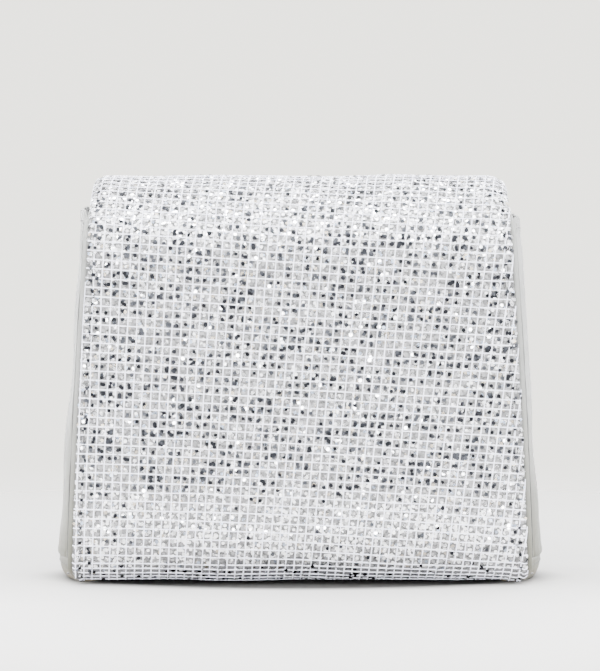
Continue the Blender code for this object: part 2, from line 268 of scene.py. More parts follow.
def limit_at(s, extra):
    """Where the cloth's side edge starts to turn, and a bit more."""
    s = np.clip(s, 0.0, S_END)
    flare = TOP_FLARE * np.sin(crown_share(s) * math.pi / 2.0) + back_flare(s)
    low = np.clip((CORNER_RUN - s) / CORNER_RUN, 0.0, 1.0)
    corner = CORNER_IN * (1.0 - np.sqrt(1.0 - 0.96 * low * low))
    return cover_half(profile(s)[1]) + flare - corner - EDGE_R + extra


def end_droop(x, edge, s):
    """How far the ends of the top roll droop, at a distance from the cover's side edge."""
    span = np.where(x > 0.0, DROOP_SPAN[1], DROOP_SPAN[0])
    depth = np.where(x > 0.0, DROOP_DEPTH[1], DROOP_DEPTH[0])
    t = np.clip((span - edge) / span, 0.0, 1.0)
    rounding = 1.0 - np.sqrt(np.clip(1.0 - t * t, 0.0, 1.0))
    return depth * rounding * np.sin(crown_share(s) * math.pi / 2.0) ** DROOP_POWER


def hem_swell(s):
    """How far the cloth stands out near its front hem."""
    return HEM_SWELL * smooth((HEM_SWELL_RUN - s) / HEM_SWELL_RUN)


def cover_relief(x, s, edge):
    """The crease that the stitches pull in, the rounding beside it, and the cloth's soft unevenness."""
    stitch_wave = 0.5 + 0.5 * np.cos(2.0 * math.pi * s / STITCH_STEP)
    crease = -(0.38 + 0.30 * stitch_wave) * bump(edge, STITCH_IN, 0.62)
    rounding = 0.28 * bump(edge, STITCH_IN * 0.45, 0.9)
    return crease + rounding + 0.22 * waves(x, s, 3, 55.0) * smooth(edge / 14.0)


def cover_point(x, s, lift):
    """A point of the flap and back cover, at a height over the cloth. x and s may pass the cloth's edges,
    and it turns round them."""
    x, s, lift = np.broadcast_arrays(np.asarray(x, float), np.asarray(s, float), np.asarray(lift, float))
    half = limit_at(s, EDGE_R)
    across = np.abs(x)
    edge = half - across
    on_cloth = np.clip(s, 0.0, S_END)
    drop = hem_drop(x, half) * np.clip(1.0 - on_cloth / CORNER_DROP_RUN, 0.0, 1.0)
    y, z, ny, nz = profile(on_cloth - drop)
    reach = EDGE_R + lift
    side_turn = np.clip((EDGE_R - edge) / EDGE_R, 0.0, MAX_TURN)
    x_out = np.where(edge >= EDGE_R, across, half - EDGE_R + reach * np.sin(side_turn))
    beyond = np.clip(-s, 0.0, None) + np.clip(s - S_END, 0.0, None)
    hem_turn = np.clip(beyond / EDGE_R, 0.0, MAX_TURN)
    swing = reach * np.sin(hem_turn) * np.where(s < 0.0, -1.0, 1.0)
    height = lift + cover_relief(x, s, edge) + hem_swell(s) - end_droop(x, edge, s)
    height = height - reach * (1.0 - np.cos(side_turn)) - reach * (1.0 - np.cos(hem_turn))
    return np.stack([np.sign(x) * x_out, y + ny * height + nz * swing, z + nz * height - ny * swing], axis=-1)


def rounded_y(centre, radius, angle, z):
    """Distance from the middle of a wall that is upright, then rounded, then a slope."""
    z = np.asarray(z, float)
    below = ROLL_Z - z
    round_part = centre + np.sqrt(np.clip(radius * radius - below * below, 0.0, None))
    slope = centre + radius * math.cos(angle) - (below - radius * math.sin(angle)) * math.tan(angle)
    found = np.where(below <= radius * math.sin(angle), round_part, slope)
    return np.where(z >= ROLL_Z, centre + radius, found)


def front_y(z, depth):
    centre = HALF_DEPTH - ROLL_R
    return -rounded_y(centre, -WALL_FACE - centre - depth, UNDERCUT, z)


def back_y(z, depth):
    z = np.asarray(z, float)
    over = np.sqrt(np.clip((TOP_R - depth) ** 2 - (z - TOP_Z) ** 2, 0.0, None))
    return np.where(z > TOP_Z, over, rounded_y(HALF_DEPTH - ROLL_R, ROLL_R - depth, BACK_TUCK, z))


def front_path(z, depth):
    """Y, Z and the outward normal's Y and Z on the front wall, at heights z."""
    step = 0.05
    slope = (front_y(z + step, depth) - front_y(z - step, depth)) / (2.0 * step)
    length = np.sqrt(1.0 + slope * slope)
    return front_y(z, depth), z, -1.0 / length, slope / length


def side_x(share, z, inset):
    """Half the body's width, at a share of the way from the front seam to the back one."""
    seam = wall_half(z)
    return seam - inset + (bulge_half(z) - seam) * np.sin(math.pi * share) ** 0.8


# ---------------- mesh making


def make_mesh(name, points, faces, smooth_shade=True):
    """A mesh object from millimetre points."""
    mesh = bpy.data.meshes.new(name)
    flat = (np.asarray(points, float).reshape(-1, 3) * SCALE).tolist()
    mesh.from_pydata(flat, [], faces)
    mesh.update()
    made = bpy.data.objects.new(name, mesh)
    bpy.context.scene.collection.objects.link(made)
    if smooth_shade:
        mesh.shade_smooth()
    return made


def outward(made):
    """Turns a closed mesh's faces outward."""
    shaped = bmesh.new()
    shaped.from_mesh(made.data)
    bmesh.ops.recalc_face_normals(shaped, faces=shaped.faces)
    shaped.to_mesh(made.data)
    shaped.free()
    return made


def grid_faces(rows, columns, first=0, flip=False, closed=False):
    faces = []
    last = columns if closed else columns - 1
    for r in range(rows - 1):
        for c in range(last):
            d = (c + 1) % columns
            face = [first + r * columns + c, first + r * columns + d,
                    first + (r + 1) * columns + d, first + (r + 1) * columns + c]
            faces.append(face[::-1] if flip else face)
    return faces


def sheet(name, outer, inner):
    """A closed sheet between two grids, its rim rounded outwards by half its thickness."""
    outer, inner = np.asarray(outer, float), np.asarray(inner, float)
    rows, columns = outer.shape[:2]
    edge = [(0, c) for c in range(columns)]
    edge += [(r, columns - 1) for r in range(1, rows)]
    edge += [(rows - 1, c) for c in range(columns - 2, -1, -1)]
    edge += [(r, 0) for r in range(rows - 2, 0, -1)]
    middle = []
    for r, c in edge:
        away = outer[r, c] - outer[min(max(r, 1), rows - 2), min(max(c, 1), columns - 2)]
        away = away / max(np.linalg.norm(away), 1e-9)
        thickness = np.linalg.norm(outer[r, c] - inner[r, c])
        middle.append((outer[r, c] + inner[r, c]) / 2.0 + away * thickness / 2.0)
    points = np.concatenate([outer.reshape(-1, 3), inner.reshape(-1, 3), np.array(middle)])
    count = rows * columns
    faces = grid_faces(rows, columns) + grid_faces(rows, columns, count, flip=True)
    for i in range(len(edge)):
        j = (i + 1) % len(edge)
        a, b = edge[i][0] * columns + edge[i][1], edge[j][0] * columns + edge[j][1]
        m, n = 2 * count + i, 2 * count + j
        faces += [[b, a, m, n], [n, m, count + a, count + b]]
    return outward(make_mesh(name, points, faces))


def tubes(name, runs):
    """Closed tubes, each from an array of rings: (rings, sides, 3)."""
    points, faces, first = [], [], 0
    for rings in runs:
        count, sides = rings.shape[:2]
        points.append(rings.reshape(-1, 3))
        faces += grid_faces(count, sides, first, closed=True)
        faces.append([first + k for k in range(sides)][::-1])
        faces.append([first + (count - 1) * sides + k for k in range(sides)])
        first += count * sides
    return outward(make_mesh(name, np.concatenate(points), faces))


def strip(name, path, half, radius, thickness, columns=41, raised=None, power=1.7):
    """A closed sheet along a path of (y, z, normal y, normal z) rows, with turned side edges.
    raised(x, edge, row) lifts it; edge is the distance inside its side edge."""
    y, z, ny, nz = (np.asarray(a, float)[:, None] for a in path)
    half = np.broadcast_to(np.asarray(half, float), y[:, 0].shape)[:, None]
    x = near_sides(columns, power)[None, :] * (half + radius)
    over = np.clip(np.abs(x) - (half - radius), 0.0, None)
    turn = over / radius
    row = np.arange(len(y))[:, None] + np.zeros(x.shape, int)
    lift = raised(x, half - np.abs(x), row) if raised else 0.0 * x
    grids = []
    for depth in (0.0, thickness):
        reach = radius - depth
        height = lift - radius + reach * np.cos(turn)
        across = np.where(over > 0.0, half - radius + reach * np.sin(turn), np.abs(x))
        grids.append(np.stack([np.sign(x) * across, y + ny * height, z + nz * height], axis=-1))
    return sheet(name, *grids)


# ---------------- materials


class Nodes:
    """Short calls for the nodes of one tree."""

    def __init__(self, tree):
        self.tree = tree

    def node(self, kind, links=None, **settings):
        """A node. Each of links is another node's output or a plain value."""
        made = self.tree.nodes.new("ShaderNode" + kind)
        for key, value in settings.items():
            setattr(made, key, value)
        for socket, source in (links or {}).items():
            if hasattr(source, "is_output"):
                self.tree.links.new(source, made.inputs[socket])
            else:
                made.inputs[socket].default_value = source
        return made

    def span(self, value, low, high, start=0.0, end=1.0, **settings):
        """low where value is at start, high where it is at end."""
        links = {"Value": value, "From Min": start, "From Max": end, "To Min": low, "To Max": high}
        return self.node("MapRange", links, **settings).outputs["Result"]

    def axis(self, vector, name):
        return self.node("SeparateXYZ", {0: vector}).outputs[name]

    def between(self, factor, first, second):
        """A mix of two numbers."""
        return self.node("Mix", {0: factor, 2: first, 3: second}, data_type="FLOAT").outputs[0]


class Shader(Nodes):
    """A Principled material. Pattern sizes are in millimetres."""

    def __init__(self, name, colour, roughness, metallic=0.0, **sockets):
        self.material = bpy.data.materials.new(name)
        self.material.use_nodes = True
        super().__init__(self.material.node_tree)
        self.surface = self.tree.nodes["Principled BSDF"]
        self.surface.inputs["Base Color"].default_value = (*colour, 1.0)
        self.surface.inputs["Roughness"].default_value = roughness
        self.surface.inputs["Metallic"].default_value = metallic
        for socket, value in sockets.items():
            self.surface.inputs[socket.replace("_", " ")].default_value = value
        self.place = self.node("TexCoord").outputs["Object"]

    def noise(self, size, detail=3.0):
        links = {"Vector": self.place, "Scale": 1.0 / (size * SCALE), "Detail": detail, "Roughness": 0.55}
        return self.node("TexNoise", links).outputs["Fac"]

    def voronoi(self, size, output="Distance", **settings):
        links = {"Vector": self.place, "Scale": 1.0 / (size * SCALE)}
        return self.node("TexVoronoi", links, **settings).outputs[output]

    def ramp(self, value, *stops):
        """Colours along a value, each stop as (place, colour)."""
        made = self.node("ValToRGB", {"Fac": value})
        elements = made.color_ramp.elements
        while len(elements) < len(stops):
            elements.new(0.5)
        for element, (place, colour) in zip(elements, stops):
            element.position = place
            element.color = (*colour, 1.0)
        return made.outputs["Color"]

    def mix(self, factor, first, second, blend="MIX"):
        """A mix of two colours, each another node's output or plain."""
        first, second = (c if hasattr(c, "is_output") else (*c, 1.0) for c in (first, second))
        links = {0: factor, 6: first, 7: second}
        return self.node("Mix", links, data_type="RGBA", blend_type=blend).outputs[2]

    def sum(self, first, second):
        return self.node("Math", {0: first, 1: second}, operation="ADD").outputs[0]

    def product(self, first, second):
        return self.node("Math", {0: first, 1: second}, operation="MULTIPLY").outputs[0]

    def length(self, vector, scale=(1.0, 1.0, 1.0)):
        if scale != (1.0, 1.0, 1.0):
            vector = self.node("VectorMath", {0: vector, 1: scale}, operation="MULTIPLY").outputs["Vector"]
        return self.node("VectorMath", {0: vector}, operation="LENGTH").outputs["Value"]

    def set(self, socket, source):
        self.tree.links.new(source, self.surface.inputs[socket])

    def relief(self, height, distance, strength):
        """Gives the surface fine relief, and returns the finished material."""
        links = {"Height": height, "Distance": distance * SCALE, "Strength": strength}
        self.set("Normal", self.node("Bump", links).outputs["Normal"])
        return self.material


def grey(value, tint=(1.0, 1.0, 1.0)):
    return tuple(value * t for t in tint)


PU_VALUE = 0.225
PU_TINT = (0.985, 0.995, 0.945)
PU_SHADE_HEIGHTS = (0.012, 0.085)  # the heights, in metres, of its painted shade: darkest and dullest below the first, plain above the second
MARK_PLACE = (-0.0975, -0.010, 0.0165)

FLAKE_KINDS = (  # name, colour, roughness, share of its family, family
    ("flake_mirror", (0.96, 0.96, 0.98), 0.06, 0.62, "bright"),
    ("flake_white", (0.80, 0.80, 0.82), 0.35, 0.45, "bright"),
    ("flake_silver", (0.42, 0.42, 0.43), 0.20, 0.22, "grey"),
    ("flake_grey", (0.29, 0.29, 0.295), 0.34, 0.42, "grey"),
    ("flake_pewter", (0.20, 0.20, 0.205), 0.30, 0.24, "grey"),
    ("flake_cool", (0.29, 0.33, 0.40), 0.16, 0.07, "grey"),
    ("flake_warm", (0.40, 0.36, 0.30), 0.18, 0.05, "grey"),
    ("flake_smoke", (0.050, 0.053, 0.060), 0.25, 0.35, "dark"),
    ("flake_black", (0.019, 0.020, 0.023), 0.18, 0.65, "dark"),
    # the pearl flakes are dull dark grey, used only at the hem: painted shade where it turns under
    ("flake_pearl_hem_shade", (0.11, 0.11, 0.115), 0.35, 1.0, "pearl"),
)


def make_pu():
    """Smooth coated leather-cloth: fine pebble grain, slight mottling, satin."""
    m = Shader("pale_pu", grey(PU_VALUE, PU_TINT), 0.42, Specular_IOR_Level=0.45)
    dark, light = grey(PU_VALUE * 0.90, PU_TINT), grey(PU_VALUE * 1.04, PU_TINT)
    colour = m.ramp(m.noise(14.0, 4.0), (0.3, dark), (0.7, light))
    # painted shade and painted warm floor bounce low down: darker, yellower and duller towards the ground;
    # then a warm beige band in patches right at the ground, and a small mark low on the left side
    height = m.axis(m.place, "Z")
    # painted shade with a warm floor bounce: a darker, yellower multiply towards the ground
    colour = m.mix(m.span(height, 1.0, 0.0, *PU_SHADE_HEIGHTS), colour, (0.58, 0.57, 0.49), "MULTIPLY")
    m.set("Specular IOR Level", m.span(height, 0.12, 0.42, *PU_SHADE_HEIGHTS))
    # a warm beige band in patches right at the ground
    beige_band = m.product(m.span(height, 0.75, 0.0, 0.0005, 0.007), m.span(m.noise(5.0), 0.2, 1.0, 0.35, 0.6))
    colour = m.mix(beige_band, colour, grey(PU_VALUE, (1.15, 0.98, 0.74)))
    away = m.node("VectorMath", {0: m.place, 1: MARK_PLACE}, operation="DISTANCE").outputs["Value"]
    mark = m.product(m.span(away, 0.7, 0.0, 0.0008, 0.0042), m.span(m.noise(1.6), 0.0, 1.0, 0.42, 0.58))
    m.set("Base Color", m.mix(mark, colour, grey(PU_VALUE, (0.80, 0.52, 0.30))))
    m.set("Roughness", m.span(m.noise(3.0), 0.36, 0.50, 0.3, 0.7))
    grain = m.span(m.voronoi(0.45, feature="SMOOTH_F1"), 0.0, 0.7)
    return m.relief(m.sum(grain, m.span(m.noise(4.0), 0.0, 0.6)), 0.06, 0.5)


def make_cloth_base():
    """The glued cloth under the flakes: fine glitter dust between the big flakes."""
    m = Shader("glitter_ground", grey(0.32), 0.5, 0.35)
    dust = m.voronoi(0.28, "Color")
    m.set("Base Color", m.ramp(dust, (0.1, grey(0.03)), (0.5, grey(0.09)), (0.9, grey(0.30))))
    m.set("Roughness", m.span(dust, 0.25, 0.7))
    return m.relief(dust, 0.08, 0.6)


def make_net():
    """White net with a cool tint: slightly glossy coated yarn."""
    m = Shader("white_net", (0.86, 0.86, 0.93), 0.45, Specular_IOR_Level=0.5)
    m.set("Base Color", m.ramp(m.noise(7.0), (0.3, (0.77, 0.78, 0.90)), (0.7, (0.90, 0.91, 1.0))))
    yarn = m.noise(0.3, 2.0)
    m.set("Roughness", m.span(yarn, 0.38, 0.56, 0.3, 0.7))
    return m.relief(yarn, 0.05, 0.4)


def make_flake(name, colour, roughness, family):
    """A flake's finish: metal, from mirror bright to smoked, or pearl."""
    m = Shader(name, colour, roughness, 0.0 if family == "pearl" else 1.0)
    return m.relief(m.noise(0.9, 1.0), 0.02, 0.15)


def make_lining():
    """Grey twill: fine diagonal ribs."""
    m = Shader("lining_twill", grey(0.13), 0.7, Sheen_Weight=0.25, Sheen_Roughness=0.4)
    turned = m.node("Mapping", {"Vector": m.place, "Rotation": (0.6, 0.8, 0.5)}).outputs[0]
    links = {"Vector": turned, "Scale": 1.0 / (3.2 * SCALE), "Distortion": 0.4, "Detail": 1.0}
    ribs = m.node("TexWave", links).outputs["Fac"]
    m.set("Base Color", m.ramp(ribs, (0.2, grey(0.095)), (0.8, grey(0.15))))
    return m.relief(ribs, 0.08, 0.5)


def make_edge_dye():
    """Painted shade for the gap at the gusset seams: near black low down, paler with height and in patches.
    """
    m = Shader("seam_shade_paint", grey(0.05), 0.55)
    # painted shade: darkest low down, where the gap's shadow is deepest
    height = m.span(m.axis(m.place, "Z"), 0.0, 1.0, 0.03, 0.13)
    paler_up = m.sum(height, m.span(m.noise(6.0), -0.2, 0.3, 0.3, 0.7))
    m.set("Base Color", m.ramp(paler_up, (0.0, (0.035, 0.034, 0.031)), (1.0, (0.165, 0.168, 0.160))))
    return m.relief(m.noise(0.8), 0.05, 0.4)


def make_metal(name, value, roughness):
    m = Shader(name, grey(value, (1.0, 1.0, 1.01)), roughness, 1.0)
    m.set("Roughness", m.span(m.noise(1.6, 4.0), roughness * 0.7, roughness * 1.5, 0.3, 0.7))
    return m.relief(m.noise(0.4), 0.01, 0.3)


def make_plain(name, value, tint, size):
    """A matt, slightly mottled material, for thread, board and wadding."""
    m = Shader(name, grey(value, tint), 0.85)
    dark, light = grey(value * 0.85, tint), grey(value * 1.1, tint)
    m.set("Base Color", m.ramp(m.noise(size), (0.3, dark), (0.7, light)))
    return m.relief(m.noise(size / 4.0), 0.1, 0.5)


PU = make_pu()
THREAD = make_plain("grey_thread", 0.15, (1.0, 1.0, 1.02), 0.5)
COVER_THREAD = make_plain("pale_thread", 0.7, (1.0, 1.0, 1.03), 0.6)


def dress(made, *materials):
    made.data.materials.clear()
    for m in materials:
        made.data.materials.append(m)
    return made


def install(made, slot, *nodes, on_flap=False):
    """Hides the CAD nodes that a piece stands for; its slot is not used. It rides on the bag, or, on the
    flap, has its place baked into its mesh.
    """
    if nodes:
        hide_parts(*nodes)
    if on_flap:
        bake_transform(made)
    else:
        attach(made, "bag")
    return made


# ---------------- stitches

# along a stitch: the place as a share of its length, then its height and thickness as shares of its radius
STITCH_SHAPE = ((0.0, -1.5, 0.6), (0.15, 0.2, 0.9), (0.5, 0.65, 1.05), (0.85, 0.2, 0.9), (1.0, -1.5, 0.6))
STITCH_SIDES = 6


def stitches(name, curve, normals, step, length, radius, slot="pu_leather", thread=THREAD, on_flap=False):
    """A row of sewn stitches along a curve of points, each dipping into the surface at its ends."""
    curve = np.asarray(curve, float)
    normals = np.broadcast_to(np.asarray(normals, float), curve.shape)
    gaps = np.linalg.norm(np.diff(curve, axis=0), axis=1)
    run = np.concatenate([[0.0], np.cumsum(gaps)])

    def at(distance, values):
        distance = max(0.0, min(run[-1], distance))
        return np.array([np.interp(distance, run, values[:, k]) for k in range(3)])

    angles = np.arange(STITCH_SIDES) * 2.0 * math.pi / STITCH_SIDES
    runs = []
    for n in range(int((run[-1] - length) / step) + 1):
        start = n * step + 0.2 * math.sin(9.7 * n)  # sewn a little unevenly
        rings = []
        for share, lift, size in STITCH_SHAPE:
            here = max(0.0, min(run[-1], start + share * length))
            up = unit(at(here, normals))
            sideways = np.cross(up, unit(at(here + 0.3, curve) - at(here - 0.3, curve)))
            centre = at(here, curve) + up * lift * radius
            ring = np.array([math.cos(a) * sideways + math.sin(a) * up for a in angles])
            rings.append(centre + size * radius * ring)
        runs.append(np.array(rings))
    return install(dress(tubes(name, runs), thread), slot, on_flap=on_flap)


# ---------------- the glitter cover


def make_cover_cloth():
    """The backing cloth of the glitter: one piece, from the front hem over the top to the back hem."""
    turned = 1.6 * EDGE_R
    s = stations((-turned, S_FRONT, 18), (S_FRONT, S_ROLL, 60), (S_ROLL, S_BACK, 70), (S_BACK, S_TUCK, 50),
                 (S_TUCK, S_END + turned, 16))
    x = near_sides(61)[None, :] * limit_at(s, turned)[:, None]
    cloth = sheet("glitter_backing", cover_point(x, s[:, None], 0.0), cover_point(x, s[:, None], -CLOTH))
    return install(dress(cloth, make_cloth_base()), "glitter_mesh", "flap_cover", "back_cover", on_flap=True)


def row_shift(x, s):
    """How far the net's rows run down towards the right: the net lies a little askew and warped."""
    z = np.clip((s - S_MIDDLE) / 75.0, -1.0, 1.0)
    run = x / 90.0
    return -((0.048 + 0.008 * z) * x + (0.007 - 0.033 * z) * x * run / 2.0)


def gathered(s):
    """The rows lie closer together where the front hem turns under."""
    return np.where(s < GATHER_START, GATHER_START - GATHER * (GATHER_START - s), s)


def net_fan(s):
    """How much further apart the columns run here than at the middle of the front."""
    return 1.0 + NET_FAN * np.clip(s - S_MIDDLE, -NET_FAN_REACH, NET_FAN_REACH)


def column_place(first, s):
    """Where a column that crosses the middle of the front at first runs: they lean and fan a little."""
    return first * net_fan(s) + NET_LEAN * (s - S_MIDDLE)


def into_cell(x, s, share):
    """Moves places towards the middles of the net's openings by a share of the way."""
    fan = net_fan(s)
    column = (x - NET_LEAN * (s - S_MIDDLE)) / fan / NET_X
    row = (s - row_shift(x, s) - S_ROLL) / NET_S
    return (x - share * (column - np.floor(column) - 0.5) * NET_X * fan,
            s - share * (row - np.floor(row) - 0.5) * NET_S)


def runs_inside(inside):
    """(first, end) of each stretch of at least three places that are inside."""
    found, start = [], None
    for i, good in enumerate(list(inside) + [False]):
        if good and start is None:
            start = i
        if not good and start is not None:
            if i - start >= 3:
                found.append((start, i))
            start = None
    return found


def net_threads():
    """The rows and columns of the net, each as (x, s, 1 for a column, 1 for a row, seed)."""
    reach = 1.45 * EDGE_R  # how far the threads run round the cloth's edges
    share = near_sides(89)
    lines = []
    for j in range(-12, int(S_END / NET_S) + 12):
        level = S_ROLL + (j - NET_ROWS_BELOW) * NET_S
        x = share * limit_at(level, 0.85 * EDGE_R)
        s = gathered(level + row_shift(x, level) + 0.12 * waves(x, level, 40 + j, 40.0))
        for a, b in runs_inside((s > -reach) & (s < S_END + reach)):
            lines.append((x[a:b], s[a:b], 0.0, 1.0, j))
    turned = np.linspace(-reach, 1.6, 9)
    s = np.concatenate([turned, np.arange(3.0, S_ROLL, 2.4), np.arange(S_ROLL, S_BACK, 1.8),
                        np.arange(S_BACK, S_END - 3.0, 2.4), S_END - turned[::-1]])
    for i in range(-60, 61):
        x = column_place(i * NET_X, s) + 0.12 * waves(s, 0.0 * s + i, 140 + i, 40.0)
        for a, b in runs_inside(np.abs(x) < limit_at(s, reach)):
            lines.append((x[a:b], s[a:b], 1.0, 0.0, 200 + i))
    x = share * limit_at(0.0, reach)
    for level, seed in ((-1.15 * EDGE_R, 410), (S_END + 1.15 * EDGE_R, 411)):
        lines.append((x, 0.0 * x + level, 0.0, 1.0, seed))
    return lines


def make_net_piece():
    """The net, in two pieces that part below the hinge, where its columns are cut."""
    runs = {"net_front": [], "net_back": []}
    split = S_BACK + NET_SPLIT
    for x, s, is_column, is_row, seed in net_threads():
        cut = int(np.searchsorted(s, split)) if is_column and s[0] < split < s[-1] else len(s)
        for part in (slice(0, cut + 1), slice(cut, None)):
            px, ps = x[part], s[part]
            if len(px) < 2:
                continue
            width = THREAD_W * (1.0 + 0.14 * waves(px, ps, 300 + seed, 9.0))
            lift = THREAD_LIFT + 0.03 * waves(px, ps, 500 + seed, 12.0)
            rings = []
            for across, up in THREAD_SECTION:
                offset = across * width
                rings.append(cover_point(px + offset * is_column, ps + offset * is_row, lift + up * THREAD_H))
            runs["net_front" if ps.mean() < split else "net_back"].append(np.stack(rings, axis=1))
    net = make_net()
    for name, threads in runs.items():
        install(dress(tubes(name, threads), net), "glitter_mesh", on_flap=True)


def dark_share(x, s):
    """How many flakes are smoked: most on the upright walls, few on the roll and low down (painted reflection
    of bright light there), more at the hem (painted shade).
    """
    upright = smooth((s - 34.0) / 12.0) * smooth((150.0 - s) / 14.0)
    band = smooth((s - 132.0) / 8.0) * smooth((168.0 - s) / 8.0)
    crown = smooth((s - 158.0) / 8.0) * smooth((S_BACK + 20.0 - s) / 30.0)
    behind = smooth((s - S_BACK - 5.0) / 20.0) * smooth((S_END - 40.0 - s) / 20.0)
    # painted shade: more dark flakes where the hem turns under
    hem = smooth((11.0 - s) / 8.0)
    clumps = np.clip(1.0 + 0.75 * waves(x, s, 77, 15.0), 0.15, 2.2)
    return (0.012 + 0.110 * upright + 0.045 * band + 0.06 * crown + 0.09 * behind) * clumps + 0.05 * hem


def bright_share(x, s):
    """How many of the rest are bright: most low down, a painted reflection of the floor, and where the roll
    starts, a painted highlight band.
    """
    low = smooth((44.0 - s) / 16.0) * smooth((s - 3.0) / 9.0) + smooth((s - S_END + 44.0) / 16.0)
    roll = smooth((s - 132.0) / 12.0) * smooth((S_BACK - s) / 14.0)
    clumps = np.clip(1.0 + 0.3 * waves(x, s, 78, 16.0), 0.2, 2.0)
    return np.clip((0.15 + 0.30 * low + 0.42 * roll) * clumps, 0.0, 0.9)


def crease_dots():
    """Dimples that the stitching pulls in along the side edges of the flap, as (x, s). The flakes put there
    are all dark: painted shade in the dimples.
    """
    s = np.arange(2.0, S_HINGE, STITCH_STEP)
    s = s + 0.5 * waves(s, 0.0 * s, 55, 12.0)
    x = limit_at(s, EDGE_R) - STITCH_IN
    return np.concatenate([-x, x]), np.concatenate([s, s])


def strewn_places():
    """Where the flakes lie, as (x, s): staggered rows, well shaken."""
    x, s = np.meshgrid(np.arange(-96.0, 96.0, FLAKE_GAP), np.arange(-1.1, S_END + 1.1, FLAKE_GAP * 0.9))
    x = x + 0.5 * FLAKE_GAP * (np.arange(len(x)) % 2)[:, None]
    x = (x + rng.uniform(-FLAKE_SHAKE, FLAKE_SHAKE, x.shape) * FLAKE_GAP).ravel()
    s = (s + rng.uniform(-FLAKE_SHAKE, FLAKE_SHAKE, s.shape) * FLAKE_GAP).ravel()
    keep = (np.abs(x) < limit_at(s, 0.9 * EDGE_R)) & (s > -1.2) & (s < S_END + 1.2)
    return x[keep], s[keep]


def flake_points(x, s, lift, is_dark):
    """Each flake's rim and the tip under it: (flakes, sides + 1, 3). Each is tipped a little its own way."""
    count = len(x)
    centre = cover_point(x, s, lift)
    delta = 0.4
    across = unit(cover_point(x + delta, s, lift) - cover_point(x - delta, s, lift))
    along = cover_point(x, s + delta, lift) - cover_point(x, s - delta, lift)
    normal = unit(np.cross(across, along))
    along = np.cross(normal, across)
    tilt = np.abs(rng.normal(0.0, math.radians(6.0), count))
    tilt = np.where(rng.random(count) < 0.18, rng.uniform(0.1, 0.3, count), tilt)
    heading = rng.uniform(0.0, 2.0 * math.pi, count)
    lean = np.cos(heading)[:, None] * across + np.sin(heading)[:, None] * along
    tipped = unit(normal + np.tan(tilt)[:, None] * lean)
    first = unit(np.cross(tipped, along))
    second = np.cross(tipped, first)
    radius = FLAKE_R * rng.uniform(0.88, 1.06, count) * np.where(is_dark, 1.10, 1.0)
    turn = rng.uniform(0.0, 2.0 * math.pi, count)
    ring = []
    for k in range(FLAKE_SIDES):
        a = turn + 2.0 * math.pi * k / FLAKE_SIDES
        ring.append(centre + radius[:, None] * (np.cos(a)[:, None] * first + np.sin(a)[:, None] * second))
    return np.stack(ring + [centre - FLAKE_DEPTH * tipped], axis=1)


def flake_finishes(family):
    """Each flake's finish, drawn from its family, as a place in FLAKE_KINDS."""
    finish = np.zeros(len(family), int)
    for wanted in ("dark", "bright", "grey", "pearl"):
        members = np.array([n for n, kind in enumerate(FLAKE_KINDS) if kind[-1] == wanted])
        steps = np.cumsum([FLAKE_KINDS[n][3] for n in members])
        picks = members[np.searchsorted(steps, rng.random(len(family)) * steps[-1])]
        finish = np.where(family == wanted, picks, finish)
    return finish


def flake_faces(count):
    """The faces of count flakes: each has its rim's face, then a ring of triangles to the tip under it."""
    faces = []
    for base in range(0, count * (FLAKE_SIDES + 1), FLAKE_SIDES + 1):
        faces.append([base + k for k in range(FLAKE_SIDES)])
        faces += [[base + (k + 1) % FLAKE_SIDES, base + k, base + FLAKE_SIDES] for k in range(FLAKE_SIDES)]
    return faces


def make_flake_pieces():
    """Round flakes strewn over the cloth, in four pieces from the front hem to the back."""
    materials = [make_flake(name, colour, rough, family) for name, colour, rough, _, family in FLAKE_KINDS]
    places, dots = strewn_places(), crease_dots()
    x, s = (np.concatenate(pair) for pair in zip(places, dots))
    count = len(x)
    in_shaded_crease = np.arange(count) >= len(places[0])
    is_dark = rng.random(count) < dark_share(x, s)
    in_cell = is_dark & (np.abs(x) < limit_at(s, -4.0)) & (s > 12.0)
    x, s = np.where(in_cell, into_cell(x, s, 0.5), (x, s))
    # painted shade: every flake in a stitch dimple is dark
    is_dark = is_dark | in_shaded_crease
    is_bright = rng.random(count) < bright_share(x, s)
    # painted shade: near the hem most flakes are dull dark grey ones
    is_pearl = rng.random(count) < 0.8 * smooth((11.0 - s) / 7.0)
    family = np.select([is_dark, is_pearl, is_bright], ["dark", "pearl", "bright"], "grey")
    lift = rng.uniform(0.03, 0.17, count) + 0.20 * is_dark + 0.14 * in_cell + 0.25 * in_shaded_crease
    lift = lift + np.where(rng.random(count) < 0.42, 0.22, 0.0)  # some lie over the net
    points = flake_points(x, s, lift, is_dark)
    finish = flake_finishes(family)
    group = np.searchsorted(np.quantile(s, [0.25, 0.5, 0.75]), s)
    for g, name in enumerate(("flakes_lower_front", "flakes_upper_front", "flakes_crown", "flakes_back")):
        chosen = np.flatnonzero(group == g)
        piece = make_mesh(name, points[chosen], flake_faces(len(chosen)), smooth_shade=False)
        dress(piece, *materials)
        slots = np.repeat(finish[chosen], FLAKE_SIDES + 1).astype(np.int32)
        piece.data.polygons.foreach_set("material_index", slots)
        install(piece, "glitter_mesh", on_flap=True)


def make_cover_stitching():
    """The thread that holds the cover's turned side edges, lying in its crease."""
    s = np.arange(1.0, S_HINGE, 0.7)
    _, _, ny, nz = profile(s)
    normals = np.stack([0.0 * s, ny, nz], axis=-1)
    for side, word in ((-1.0, "left"), (1.0, "right")):
        curve = cover_point(side * (limit_at(s, EDGE_R) - STITCH_IN), s, 0.25)
        stitches(f"cover_stitches_{word}", curve, normals, STITCH_STEP, 3.9, 0.2, "glitter_mesh",
                 COVER_THREAD, on_flap=True)


# ---------------- the flap's facing and wadding


def facing_cover(s):
    """Half the width of the glitter in front of the facing."""
    return limit_at(s, EDGE_R) - back_flare(s)


